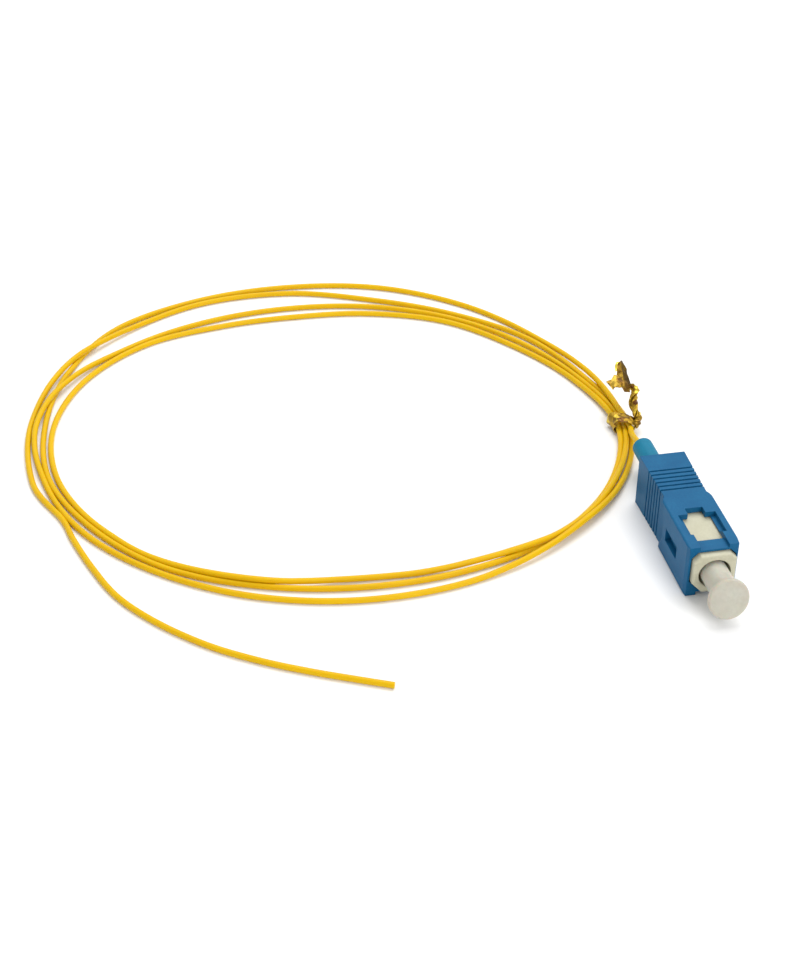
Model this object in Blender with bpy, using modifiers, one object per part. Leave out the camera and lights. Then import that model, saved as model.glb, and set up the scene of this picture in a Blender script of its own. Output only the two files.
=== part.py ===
"""A fibre optic pigtail: a push-pull plug on the end of a coiled, tied, tight-buffered fibre.

Metres, +Z up. The plug lies on its lower face and points along -Y. The origin is on the floor,
at the middle of the plug's own outline: dust cap, housing and boot, with the key on its side.
"""

import math

import bmesh
import bpy
from mathutils import Matrix, Vector

# Outer housing, the sleeve that a hand pulls: width across the windowed faces, height, length
HOUSING_W = 0.0074
HOUSING_H = 0.0081
HOUSING_L = 0.0228
HOUSING_EDGE = 0.0003
# How far each side leans in at the front, and over what length; the key's side has the longer one
LEAD_IN_LEFT = (0.0002, 0.0008)
LEAD_IN_RIGHT = (0.0003, 0.0020)
# Key that stands out of the housing's +X side
KEY_W = 0.0025
KEY_H = 0.0007
KEY_START = 0.0022
KEY_L = 0.0058
KEY_ROOT = 0.0002
# Hollow of the housing: a rectangle for the plug frame, a narrower one behind it, a round way out
SIDE_WALL = 0.0005
TOP_WALL = 0.00085
CAVITY_END = 0.0124
# Behind the ribs' middle the hollow is narrower, so that the scalloped sides keep their wall
WAIST_START = 0.0086
WAIST_WALL = 0.0009
REAR_TOP_WALL = 0.0013
REAR_WALL = 0.0018
# Window in the upper and lower face, with a notch behind it and a low bridge in front
WINDOW_W = 0.0041
BRIDGE_L = 0.0022
BRIDGE_DROP = 0.00055
WINDOW_END = 0.0077
NOTCH_W = 0.00254
NOTCH_L = 0.00135
# Ledges beside the window: as deep from RAMP_END to its rear end, flush with the face at RAMP_START
LEDGE_W = 0.00065
LEDGE_DROP = 0.0007
RAMP_START = 0.0030
RAMP_END = 0.0040
# Finger grip: scalloped sides and transverse grooves all round
GRIP_TIP = 0.0110
GRIP_ARC_R = 0.0062
GRIP_DEPTH_FRONT = 0.0006
GRIP_DEPTH_REAR = 0.00030
GRIP_RAMP = 0.0011
GRIP_PROUD = 0.0001
GROOVES = 6
GROOVE_FIRST = 0.0139
GROOVE_PITCH = 0.00096
GROOVE_W = 0.00034
GROOVE_DEPTH = 0.00022
# Guide ribs inside the housing, which slide in the frame's side channels and stop its travel
RIB_START = 0.0034
RIB_L = 0.0056
RIB_W = 0.0024
RECESS_START = 0.0044
RECESS_L = 0.0046
RECESS_W = 0.0020
RECESS_DEPTH = 0.00085
SLEEVE_TRAVEL = 0.0018
# Plug frame, the inner body that enters the adapter
FRAME_NOSE = 0.0009
FRAME_GAP_X = 0.00015
FRAME_GAP_Z = 0.00015
FRAME_CHAMFER_TOP = (0.0009, 0.0009)
FRAME_CHAMFER_BOTTOM = (0.0015, 0.0016)
FRAME_EDGE = 0.00025
NOSE_BORE_GAP = 0.0004
NOSE_BORE_DEPTH = 0.0036
SLEEVE_BORE_R = 0.00205
SEAT_START = 0.0050
SEAT_T = 0.0008
SEAT_HOLE_GAP = 0.00025
BARREL_WALL = 0.00035
BARREL_GAP = 0.0004
BARREL_SIDE_GAP = 0.00018
BARREL_END = 0.0158
BARREL_ROOT = 0.0005
STOP_GAP = 0.0003
CHANNEL_GAP = 0.0002
CHANNEL_WALL = 0.00025
# Ferrule and its metal holder
FERRULE_R = 0.00125
FERRULE_L = 0.0105
FERRULE_TIP = 0.0020
FERRULE_CHAMFER = 0.0003
FIT_GAP = 0.0001
HOLDER_WALL = 0.0005
HOLDER_COLLAR_GAP = 0.00025
HOLDER_COLLAR_L = 0.0029
HOLDER_STEM_R = 0.00115
HOLDER_END = 0.0123
# Ferrule spring
SPRING_GAP = 0.00032
SPRING_WIRE_R = 0.00018
SPRING_TURNS = 6
# Rear body that closes the frame and carries the boot
REAR_BODY_START = 0.0136
REAR_BODY_PLUG_GAP = 0.0002
REAR_BODY_STEP = 0.00005
REAR_BODY_COLLAR_L = 0.0015
CRIMP_R = 0.00110
CRIMP_END = 0.0214
# Boot
BOOT_COLLAR_R = 0.00215
BOOT_HOLE_GAP = 0.0003
BOOT_COLLAR_END = 0.0204
BOOT_R = 0.00160
BOOT_TIP_R = 0.00155
BOOT_END = 0.0313
BOOT_EDGE = 0.00045
# Dust cap: a tube over the ferrule with a flat round head, which leans back by CAP_LEAN degrees
CAP_FRONT = 0.00745
CAP_HEAD_R = 0.0029
CAP_HEAD_T = 0.0008
CAP_HEAD_EDGE = 0.0002
CAP_LEAN = 16
CAP_WALL = 0.0005
CAP_BORE_GAP = 0.00015
CAP_TUBE_END = 0.0016
CAP_BORE_END = 0.0046
# Tight-buffered fibre
FIBRE_R = 0.00045
PIECE_GAP = 0.0003
ROUTE_STEP = 0.0024
# Coil: centre, and by angle its middle radius and half width, measured round from +X
COIL_CENTRE = (-0.04612, 0.03898)
COIL_H = 0.0020
COIL_EDGE = 0.0006
COIL_STATIONS = 72
COIL_BAND = (
    (15, 0.0444, 0.0028), (45, 0.0429, 0.0040), (70, 0.0416, 0.0053), (92, 0.0408, 0.0060),
    (122, 0.0434, 0.0046), (150, 0.0445, 0.0031), (180, 0.0441, 0.0027), (205, 0.0431, 0.0022),
    (235, 0.0421, 0.0021), (270, 0.0418, 0.0032), (300, 0.0444, 0.0022), (325, 0.0464, 0.0018),
    (348, 0.0472, 0.0011),
)
TIE_ANGLE = 348.5
TIE_LIFT = 0.00065
TIE_LIFT_SPREAD = 14
# Twist tie: a wire-cored foil strip round the bundle, its ends twisted together and splayed
TIE_T = 0.00035
TIE_W = 0.0022
TIE_STEM_R = 0.00075
TIE_STEM = (
    (0.00158, 0.02928, 0.00175), (0.00238, 0.02998, 0.00215), (0.00248, 0.03078, 0.00285),
    (0.00228, 0.03157, 0.00365), (0.00248, 0.03227, 0.00465), (0.00268, 0.03298, 0.00560),
)
TIE_TABS = (
    ((0.00253, 0.03268, 0.00560), (0.00163, 0.03787, 0.00800), 0.0013),
    ((0.00283, 0.03288, 0.00545), (-0.00167, 0.03427, 0.00650), 0.0024),
)
# The free end of the fibre on the floor, from where it leaves the coil to its cut end
TAIL_ROUTE = (
    (-0.08583, 0.01580), (-0.08502, 0.01297), (-0.08357, 0.00937), (-0.08047, 0.00207),
    (-0.07567, -0.00443), (-0.06947, -0.01043), (-0.06327, -0.01473), (-0.05707, -0.01812),
    (-0.05087, -0.02102), (-0.04667, -0.02292),
)
FLOOR_GAP = 0.00001

# How far a cutter runs past the wall it cuts
CUT_OVER = 0.001

AXIS_X = -KEY_H / 2
AXIS_Z = HOUSING_H / 2
FRONT_Y = -(BOOT_END - CAP_FRONT) / 2
# The fibre from inside the rear body, through the boot, down to the bundle at the tie
LEAD_ROUTE = (
    (AXIS_X, FRONT_Y + REAR_BODY_START + PIECE_GAP, AXIS_Z), (AXIS_X, FRONT_Y + CRIMP_END, AXIS_Z),
    (AXIS_X, FRONT_Y + BOOT_END, AXIS_Z), (-0.00022, 0.02110, 0.00375),
    (0.00078, 0.02398, 0.00300), (0.00145, 0.02688, 0.00225),
)
CAVITY_W = HOUSING_W - 2 * SIDE_WALL
CAVITY_H = HOUSING_H - 2 * TOP_WALL
WAIST_W = HOUSING_W - 2 * WAIST_WALL
REAR_CAVITY_H = HOUSING_H - 2 * REAR_TOP_WALL
REAR_HOLE_R = BOOT_COLLAR_R + BOOT_HOLE_GAP
FRAME_W = CAVITY_W - 2 * FRAME_GAP_X
FRAME_H = CAVITY_H - 2 * FRAME_GAP_Z
FRAME_END = CAVITY_END - STOP_GAP
HOLDER_COLLAR_R = FERRULE_R + FIT_GAP + HOLDER_WALL
CHAMBER_R = HOLDER_COLLAR_R + HOLDER_COLLAR_GAP
CHANNEL_FLOOR = CHAMBER_R + CHANNEL_WALL
RIB_FACE = CHANNEL_FLOOR + CHANNEL_GAP
BARREL_R = CHAMBER_R + BARREL_WALL
REAR_CAVITY_W = 2 * (BARREL_R + BARREL_SIDE_GAP)
# The narrow hollow starts far enough forward for the barrel's root when the sleeve is pulled back
REAR_CAVITY_START = FRAME_END - BARREL_ROOT - SLEEVE_TRAVEL - STOP_GAP
BARREL_H = REAR_CAVITY_H - 2 * BARREL_GAP
SEAT_HOLE_R = FERRULE_R + SEAT_HOLE_GAP
CAP_TUBE_R = FERRULE_R + CAP_BORE_GAP + CAP_WALL
NOSE_BORE_R = CAP_TUBE_R + NOSE_BORE_GAP
HOLDER_START = SEAT_START + SEAT_T + PIECE_GAP
SPRING_R = CHAMBER_R - SPRING_GAP - SPRING_WIRE_R
REAR_BODY_PLUG_R = CHAMBER_R - REAR_BODY_PLUG_GAP
REAR_BODY_COLLAR_R = BARREL_R - REAR_BODY_STEP

for old in list(bpy.data.objects):
    bpy.data.objects.remove(old, do_unlink=True)
pigtail = bpy.data.collections.new("fibre_optic_pigtail")
cutters = bpy.data.collections.new("cutters")
bpy.context.scene.collection.children.link(pigtail)
bpy.context.scene.collection.children.link(cutters)
cutters.hide_render = True


# Shared tools

def material(name, colour, roughness, metallic=0.0):
    made = bpy.data.materials.new(name)
    made.use_nodes = True
    shader = made.node_tree.nodes["Principled BSDF"]
    shader.inputs["Base Color"].default_value = (*colour, 1.0)
    shader.inputs["Roughness"].default_value = roughness
    shader.inputs["Metallic"].default_value = metallic
    made.diffuse_color = (*colour, 1.0)
    return made


def place(name, mesh, finish=None):
    """An object in the pigtail's collection if it has a finish, and else a cutter."""
    made = bpy.data.objects.new(name, mesh)
    if finish is None:
        cutters.objects.link(made)
        made.hide_render = True
        made.display_type = "WIRE"
        return made
    pigtail.objects.link(made)
    mesh.materials.append(finish)
    return made


def from_bmesh(name, bm, finish=None):
    bmesh.ops.recalc_face_normals(bm, faces=bm.faces)
    mesh = bpy.data.meshes.new(name)
    bm.to_mesh(mesh)
    bm.free()
    return place(name, mesh, finish)


def add_box(bm, low, high):
    """A box from its two corners, measured from the plug's axis and the housing's front."""
    size = [high[i] - low[i] for i in range(3)]
    centre = [(high[i] + low[i]) / 2 for i in range(3)]
    centre = (centre[0] + AXIS_X, centre[1] + FRONT_Y, centre[2] + AXIS_Z)
    bmesh.ops.create_cube(bm, size=1, matrix=Matrix.Translation(centre) @ Matrix.Diagonal((*size, 1)))


def boxes(name, corners, finish=None):
    bm = bmesh.new()
    for low, high in corners:
        add_box(bm, low, high)
    return from_bmesh(name, bm, finish)


def bevel_along(made, direction, width, segments):
    """Rounds the edges of a mesh that run along one direction."""
    bm = bmesh.new()
    bm.from_mesh(made.data)
    along = [e for e in bm.edges
             if abs((e.verts[0].co - e.verts[1].co).normalized().dot(direction)) > 0.99]
    bmesh.ops.bevel(bm, geom=along, offset=width, segments=segments, profile=0.5, affect="EDGES")
    bm.to_mesh(made.data)
    bm.free()


def mesh_of(made, name, finish=None):
    """A mesh object in place of a curve, with its caps welded."""
    graph = bpy.context.evaluated_depsgraph_get()
    mesh = bpy.data.meshes.new_from_object(made.evaluated_get(graph))
    mesh.transform(made.matrix_world)
    bm = bmesh.new()
    bm.from_mesh(mesh)
    bmesh.ops.remove_doubles(bm, verts=bm.verts, dist=0.000002)
    bmesh.ops.recalc_face_normals(bm, faces=bm.faces)
    bm.to_mesh(mesh)
    bm.free()
    mesh.materials.clear()
    curve = made.data
    bpy.data.objects.remove(made)
    bpy.data.curves.remove(curve)
    return place(name, mesh, finish)


def extruded(name, outline, start, end, plane, finish=None):
    """A flat outline with thickness: in X and Z along Y, or in Y and Z along X."""
    curve = bpy.data.curves.new(name, "CURVE")
    curve.dimensions = "2D"
    curve.fill_mode = "BOTH"
    curve.extrude = (end - start) / 2
    spline = curve.splines.new("POLY")
    spline.points.add(len(outline) - 1)
    for point, (u, v) in zip(spline.points, outline):
        point.co = (u, v, 0, 1)
    spline.use_cyclic_u = True
    made = bpy.data.objects.new(name, curve)
    bpy.context.scene.collection.objects.link(made)
    middle = (start + end) / 2
    if plane == "XZ":
        turn = Matrix(((1, 0, 0), (0, 0, -1), (0, 1, 0))).to_4x4()
        made.matrix_world = Matrix.Translation((AXIS_X, FRONT_Y + middle, AXIS_Z)) @ turn
    else:
        turn = Matrix(((0, 0, 1), (1, 0, 0), (0, 1, 0))).to_4x4()
        made.matrix_world = Matrix.Translation((AXIS_X + middle, FRONT_Y, AXIS_Z)) @ turn
    bpy.context.view_layer.update()
    return mesh_of(made, name, finish)


def turned(name, profile, finish=None, closed=True, steps=40):
    """A profile of radii and distances behind the housing's front, turned about the plug's axis.

    It runs along its outer side from the rear to the front, then back along its bore.
    """
    bm = bmesh.new()
    verts = [bm.verts.new((r, 0, along)) for r, along in profile]
    for a, b in zip(verts, verts[1:]):
        bm.edges.new((a, b))
    if closed:
        bm.edges.new((verts[-1], verts[0]))
    mesh = bpy.data.meshes.new(name)
    bm.to_mesh(mesh)
    bm.free()
    made = place(name, mesh, finish)
    made.location = (AXIS_X, FRONT_Y, AXIS_Z)
    made.rotation_euler = (-math.pi / 2, 0, 0)
    screw = made.modifiers.new("turn", "SCREW")
    screw.angle = 2 * math.pi
    screw.steps = steps
    screw.render_steps = steps
    screw.use_merge_vertices = True
    screw.merge_threshold = 0.000001
    return made


def boolean(target, other, operation="DIFFERENCE"):
    step = target.modifiers.new(other.name, "BOOLEAN")
    step.operation = operation
    step.object = other
    step.solver = "EXACT"


def smooth(made, degrees=35):
    made.data.shade_smooth()
    if hasattr(made.data, "set_sharp_from_angle"):
        made.data.set_sharp_from_angle(angle=math.radians(degrees))


def spaced(points, step):
    """Points a step apart on a smooth curve through the route's own points."""
    points = [Vector(p) for p in points]
    ends = [2 * points[0] - points[1]] + points + [2 * points[-1] - points[-2]]
    fine = []
    for before, a, b, after in zip(ends, ends[1:], ends[2:], ends[3:]):
        for k in range(40):
            t = k / 40
            fine.append(0.5 * (2 * a + (b - before) * t + (2 * before - 5 * a + 4 * b - after) * t ** 2
                               + (3 * a - before - 3 * b + after) * t ** 3))
    fine.append(points[-1])
    total = sum((b - a).length for a, b in zip(fine, fine[1:]))
    count = max(2, round(total / step))
    found, walked, wanted = [fine[0]], 0.0, total / count
    for a, b in zip(fine, fine[1:]):
        walked += (b - a).length
        if walked >= wanted and len(found) < count:
            found.append(b)
            wanted += total / count
    return found + [fine[-1]]


def wire(name, points, radius, finish=None, resolution=2):
    """A round wire through the points, as a mesh with closed ends."""
    curve = bpy.data.curves.new(name, "CURVE")
    curve.dimensions = "3D"
    curve.bevel_depth = radius
    curve.bevel_resolution = resolution
    curve.use_fill_caps = True
    spline = curve.splines.new("POLY")
    spline.points.add(len(points) - 1)
    for point, at in zip(spline.points, points):
        point.co = (*at, 1)
    made = bpy.data.objects.new(name, curve)
    bpy.context.scene.collection.objects.link(made)
    bpy.context.view_layer.update()
    return mesh_of(made, name, finish)


# Finishes

blue_plastic = material("blue_housing_plastic", (0.035, 0.19, 0.41), 0.45)
ivory_plastic = material("ivory_frame_plastic", (0.78, 0.73, 0.58), 0.45)
zirconia = material("zirconia", (0.93, 0.92, 0.89), 0.20)
steel = material("steel", (0.62, 0.62, 0.62), 0.30, 1.0)
spring_steel = material("spring_steel", (0.50, 0.50, 0.50), 0.35, 1.0)
nickel = material("nickel_plated_brass", (0.66, 0.63, 0.57), 0.28, 1.0)
teal_rubber = material("teal_boot_rubber", (0.03, 0.27, 0.40), 0.55)
cap_plastic = material("clear_cap_plastic", (0.62, 0.60, 0.54), 0.40)
yellow_jacket = material("yellow_fibre_jacket", (0.88, 0.50, 0.01), 0.45)
gold_foil = material("gold_foil", (0.60, 0.38, 0.05), 0.35, 0.8)


# Outer housing

def grip_level(along):
    """How deep the scalloped side lies under the housing's side, by distance from its front."""
    share = (along - GRIP_TIP) / (HOUSING_L - GRIP_TIP)
    return GRIP_DEPTH_FRONT + (GRIP_DEPTH_REAR - GRIP_DEPTH_FRONT) * share


def scallop(side):
    """The cutter of one side's grip: round in front, with walls that slope down to its floor."""
    bm = bmesh.new()
    for grow, deep in ((GRIP_RAMP, False), (0.0, True)):
        radius = GRIP_ARC_R + grow
        outline = [(HOUSING_L + CUT_OVER, -radius), (HOUSING_L + CUT_OVER, radius)]
        for k in range(13):
            angle = math.radians(-90 + 15 * k)
            outline.append((GRIP_TIP + GRIP_ARC_R - radius * math.cos(angle), radius * math.sin(angle)))
        for along, up in outline:
            out = HOUSING_W / 2 + (-grip_level(along) if deep else GRIP_PROUD)
            bm.verts.new((AXIS_X + side * out, FRONT_Y + along, AXIS_Z + up))
    bmesh.ops.convex_hull(bm, input=bm.verts)
    return from_bmesh(f"cut_grip_{'left' if side < 0 else 'right'}", bm)


def frame_outline(half_w, half_h):
    """The chamfered section of the plug frame, or of the hollow that it slides in."""
    top_x, top_z = FRAME_CHAMFER_TOP
    low_x, low_z = FRAME_CHAMFER_BOTTOM
    return [(-half_w, -half_h + low_z), (-half_w + low_x, -half_h), (half_w - low_x, -half_h),
            (half_w, -half_h + low_z), (half_w, half_h - top_z), (half_w - top_x, half_h),
            (-half_w + top_x, half_h), (-half_w, half_h - top_z)]


def build_outer_housing():
    half_w, half_h = HOUSING_W / 2, HOUSING_H / 2
    housing = boxes("outer_housing", [((-half_w, 0, -half_h), (half_w, HOUSING_L, half_h))], blue_plastic)
    bevel_along(housing, Vector((0, 1, 0)), HOUSING_EDGE, 4)

    key = boxes("add_key", [
        ((half_w - KEY_ROOT, KEY_START, -KEY_W / 2), (half_w + KEY_H, KEY_START + KEY_L, KEY_W / 2))])
    boolean(housing, key, "UNION")
    for side, (depth, length) in ((-1, LEAD_IN_LEFT), (1, LEAD_IN_RIGHT)):
        boolean(housing, scallop(side))
        wedge = [(side * (half_w - depth), 0), (side * half_w, length),
                 (side * (half_w + CUT_OVER), length), (side * (half_w + CUT_OVER), -CUT_OVER),
                 (side * (half_w - depth), -CUT_OVER)]
        bm = bmesh.new()
        rings = [[bm.verts.new((AXIS_X + x, FRONT_Y + y, AXIS_Z + z)) for x, y in wedge]
                 for z in (-half_h - CUT_OVER, half_h + CUT_OVER)]
        for ring in rings:
            bm.faces.new(ring)
        for k in range(len(wedge)):
            n = (k + 1) % len(wedge)
            bm.faces.new((rings[0][k], rings[0][n], rings[1][n], rings[1][k]))
        boolean(housing, from_bmesh(f"cut_lead_in_{'left' if side < 0 else 'right'}", bm))

    grooves = [GROOVE_FIRST + GROOVE_PITCH * k for k in range(GROOVES)]
    for end in (-1, 1):
        low, high = sorted((end * (half_h - GROOVE_DEPTH), end * (half_h + CUT_OVER)))
        boolean(housing, boxes(f"cut_grooves_{'under' if end < 0 else 'over'}", [
            ((-half_w - CUT_OVER, y - GROOVE_W / 2, low), (half_w + CUT_OVER, y + GROOVE_W / 2, high))
            for y in grooves]))
    for side in (-1, 1):
        corners = []
        for y in grooves:
            floor = side * (half_w - grip_level(y) - GROOVE_DEPTH)
            low, high = sorted((floor, side * (half_w + CUT_OVER)))
            corners.append(((low, y - GROOVE_W / 2, -half_h - CUT_OVER),
                            (high, y + GROOVE_W / 2, half_h + CUT_OVER)))
        boolean(housing, boxes(f"cut_grooves_{'left' if side < 0 else 'right'}", corners))

    cavity = extruded("cut_cavity", frame_outline(CAVITY_W / 2, CAVITY_H / 2), -CUT_OVER, CAVITY_END, "XZ")
    for side in (-1, 1):
        low, high = sorted((side * WAIST_W / 2, side * (CAVITY_W / 2 + CUT_OVER)))
        waist = boxes(f"keep_waist_{'left' if side < 0 else 'right'}", [
            ((low, WAIST_START, -CAVITY_H / 2 - CUT_OVER),
             (high, CAVITY_END + CUT_OVER, CAVITY_H / 2 + CUT_OVER))])
        boolean(cavity, waist)
        low, high = sorted((side * RIB_FACE, side * (CAVITY_W / 2 + CUT_OVER)))
        rib = boxes(f"keep_rib_{'left' if side < 0 else 'right'}",
                    [((low, RIB_START, -RIB_W / 2), (high, RIB_START + RIB_L, RIB_W / 2))])
        boolean(cavity, rib)
    boolean(housing, cavity)
    boolean(housing, boxes("cut_rear_cavity", [
        ((-REAR_CAVITY_W / 2, REAR_CAVITY_START, -REAR_CAVITY_H / 2),
         (REAR_CAVITY_W / 2, HOUSING_L - REAR_WALL, REAR_CAVITY_H / 2))]))
    boolean(housing, turned("cut_rear_hole", [
        (0, HOUSING_L + CUT_OVER), (REAR_HOLE_R, HOUSING_L + CUT_OVER),
        (REAR_HOLE_R, HOUSING_L - REAR_WALL - CUT_OVER), (0, HOUSING_L - REAR_WALL - CUT_OVER)],
        closed=False))

    for end in (-1, 1):
        word = "under" if end < 0 else "over"
        low, high = sorted((end * (CAVITY_H / 2 - CUT_OVER), end * (half_h + CUT_OVER)))
        boolean(housing, boxes(f"cut_window_{word}", [
            ((-WINDOW_W / 2, BRIDGE_L, low), (WINDOW_W / 2, WINDOW_END, high))]))
        boolean(housing, boxes(f"cut_notch_{word}", [
            ((-NOTCH_W / 2, WINDOW_END - 0.0005, low), (NOTCH_W / 2, WINDOW_END + NOTCH_L, high))]))
        low, high = sorted((end * (half_h - BRIDGE_DROP), end * (half_h + CUT_OVER)))
        boolean(housing, boxes(f"cut_bridge_{word}", [
            ((-WINDOW_W / 2, -CUT_OVER, low), (WINDOW_W / 2, BRIDGE_L + 0.0002, high))]))
        ramp = [(RAMP_START, end * half_h), (RAMP_END, end * (half_h - LEDGE_DROP)),
                (WINDOW_END, end * (half_h - LEDGE_DROP)),
                (WINDOW_END, end * (half_h + CUT_OVER)), (RAMP_START, end * (half_h + CUT_OVER))]
        edge = WINDOW_W / 2 + LEDGE_W
        boolean(housing, extruded(f"cut_ledges_{word}", ramp, -edge, edge, "YZ"))

    recess = boxes("cut_side_recess", [
        ((-half_w - CUT_OVER, RECESS_START, -RECESS_W / 2),
         (-half_w + RECESS_DEPTH, RECESS_START + RECESS_L, RECESS_W / 2))])
    boolean(housing, recess)
    return housing


# Plug frame

def build_plug_frame():
    half_w, half_h = FRAME_W / 2, FRAME_H / 2
    frame = extruded("plug_frame", frame_outline(half_w, half_h), -FRAME_NOSE, FRAME_END, "XZ",
                     ivory_plastic)
    bm = bmesh.new()
    bm.from_mesh(frame.data)
    nose = [e for e in bm.edges if all(abs(v.co.y - (FRONT_Y - FRAME_NOSE)) < 1e-6 for v in e.verts)
            and len(e.link_faces) == 2 and abs(e.link_faces[0].normal.y - e.link_faces[1].normal.y) > 0.5]
    bmesh.ops.bevel(bm, geom=nose, offset=FRAME_EDGE, segments=2, profile=0.5, affect="EDGES")
    bm.to_mesh(frame.data)
    bm.free()

    barrel = boxes("add_barrel", [((-BARREL_R, FRAME_END - BARREL_ROOT, -BARREL_H / 2),
                                   (BARREL_R, BARREL_END, BARREL_H / 2))])
    boolean(frame, barrel, "UNION")
    for side in (-1, 1):
        low, high = sorted((side * (WAIST_W / 2 - FRAME_GAP_X), side * (half_w + CUT_OVER)))
        boolean(frame, boxes(f"cut_waist_{'left' if side < 0 else 'right'}", [
            ((low, WAIST_START - STOP_GAP, -half_h - CUT_OVER),
             (high, FRAME_END + CUT_OVER, half_h + CUT_OVER))]))
    nose_end = NOSE_BORE_DEPTH - FRAME_NOSE
    boolean(frame, turned("cut_bores", [
        (0, BARREL_END + CUT_OVER), (CHAMBER_R, BARREL_END + CUT_OVER), (CHAMBER_R, SEAT_START + SEAT_T),
        (SEAT_HOLE_R, SEAT_START + SEAT_T), (SEAT_HOLE_R, SEAT_START), (SLEEVE_BORE_R, SEAT_START),
        (SLEEVE_BORE_R, nose_end), (NOSE_BORE_R, nose_end), (NOSE_BORE_R, -FRAME_NOSE - CUT_OVER),
        (0, -FRAME_NOSE - CUT_OVER)], closed=False))
    channel_start = RIB_START - STOP_GAP
    channel_end = RIB_START + RIB_L + SLEEVE_TRAVEL + STOP_GAP
    for side in (-1, 1):
        low, high = sorted((side * CHANNEL_FLOOR, side * (half_w + CUT_OVER)))
        half = RIB_W / 2 + CHANNEL_GAP
        boolean(frame, boxes(f"cut_channel_{'left' if side < 0 else 'right'}",
                             [((low, channel_start, -half), (high, channel_end, half))]))
    return frame


# Ferrule, its holder and the spring behind it

def build_ferrule():
    tip, end, cut = -FERRULE_TIP, FERRULE_L - FERRULE_TIP, FERRULE_CHAMFER
    ferrule = turned("ferrule", [
        (0, end), (FERRULE_R - cut, end), (FERRULE_R, end - cut), (FERRULE_R, tip + cut),
        (FERRULE_R - cut, tip), (0, tip)], zirconia, closed=False, steps=32)
    inner = FERRULE_R + FIT_GAP
    seat = end + PIECE_GAP
    holder = turned("ferrule_holder", [
        (HOLDER_STEM_R, HOLDER_END), (HOLDER_STEM_R, HOLDER_START + HOLDER_COLLAR_L),
        (HOLDER_COLLAR_R, HOLDER_START + HOLDER_COLLAR_L), (HOLDER_COLLAR_R, HOLDER_START),
        (inner, HOLDER_START), (inner, seat), (FIBRE_R + PIECE_GAP, seat),
        (FIBRE_R + PIECE_GAP, HOLDER_END)], steel, steps=32)
    return ferrule, holder


def build_spring():
    start = HOLDER_START + HOLDER_COLLAR_L + PIECE_GAP + SPRING_WIRE_R
    end = REAR_BODY_START - PIECE_GAP - SPRING_WIRE_R
    per_turn = 14
    points = []
    for k in range(SPRING_TURNS * per_turn + 1):
        angle = 2 * math.pi * k / per_turn
        along = start + (end - start) * k / (SPRING_TURNS * per_turn)
        points.append((AXIS_X + SPRING_R * math.cos(angle), FRONT_Y + along,
                       AXIS_Z + SPRING_R * math.sin(angle)))
    return wire("ferrule_spring", points, SPRING_WIRE_R, spring_steel, resolution=1)


# Rear body and boot

def build_rear_body():
    bore = FIBRE_R + PIECE_GAP
    collar = BARREL_END + PIECE_GAP
    return turned("rear_body", [
        (CRIMP_R, CRIMP_END), (CRIMP_R, collar + REAR_BODY_COLLAR_L),
        (REAR_BODY_COLLAR_R, collar + REAR_BODY_COLLAR_L), (REAR_BODY_COLLAR_R, collar),
        (REAR_BODY_PLUG_R, collar), (REAR_BODY_PLUG_R, REAR_BODY_START), (bore, REAR_BODY_START),
        (bore, CRIMP_END)], nickel, steps=32)


def build_boot():
    start = BARREL_END + PIECE_GAP + REAR_BODY_COLLAR_L + PIECE_GAP
    crimp_hole = CRIMP_R + FIT_GAP
    profile = [(BOOT_TIP_R - BOOT_EDGE * (1 - math.cos(math.radians(a))),
                BOOT_END - BOOT_EDGE * (1 - math.sin(math.radians(a)))) for a in (90, 60, 30, 0)]
    return turned("strain_relief_boot", profile + [
        (BOOT_R, BOOT_COLLAR_END + 0.0006), (BOOT_COLLAR_R, BOOT_COLLAR_END), (BOOT_COLLAR_R, start),
        (crimp_hole, start), (crimp_hole, CRIMP_END + PIECE_GAP),
        (FIBRE_R + PIECE_GAP, CRIMP_END + PIECE_GAP), (FIBRE_R + PIECE_GAP, BOOT_END)],
        teal_rubber, steps=32)


# Dust cap

def build_dust_cap():
    bore, edge, lean = FERRULE_R + CAP_BORE_GAP, CAP_HEAD_EDGE, math.radians(CAP_LEAN)
    cap = turned("dust_cap", [
        (0, -CAP_BORE_END), (bore, -CAP_BORE_END), (bore, CAP_TUBE_END), (CAP_TUBE_R, CAP_TUBE_END),
        (CAP_TUBE_R, -CAP_FRONT), (0, -CAP_FRONT)], cap_plastic, closed=False)
    head = turned("add_cap_head", [
        (0, CAP_HEAD_T), (CAP_HEAD_R - edge, CAP_HEAD_T), (CAP_HEAD_R, CAP_HEAD_T - edge),
        (CAP_HEAD_R, edge), (CAP_HEAD_R - edge, 0), (0, 0)], closed=False)
    head.location.y = FRONT_Y - CAP_FRONT + (CAP_HEAD_R - edge) * math.sin(lean)
    head.rotation_euler.x = -math.pi / 2 - lean
    # The tube ends on the leaning head's middle plane
    bm = bmesh.new()
    reach = CAP_HEAD_R + CUT_OVER
    bmesh.ops.create_cube(bm, size=2 * reach, matrix=Matrix.Translation((0, 0, CAP_HEAD_T / 2 - reach)))
    beyond = from_bmesh("cut_cap_tube", bm)
    beyond.location, beyond.rotation_euler = head.location, head.rotation_euler
    boolean(cap, beyond)
    boolean(cap, head, "UNION")
    return cap


# Fibre: lead, coil and tail

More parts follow.
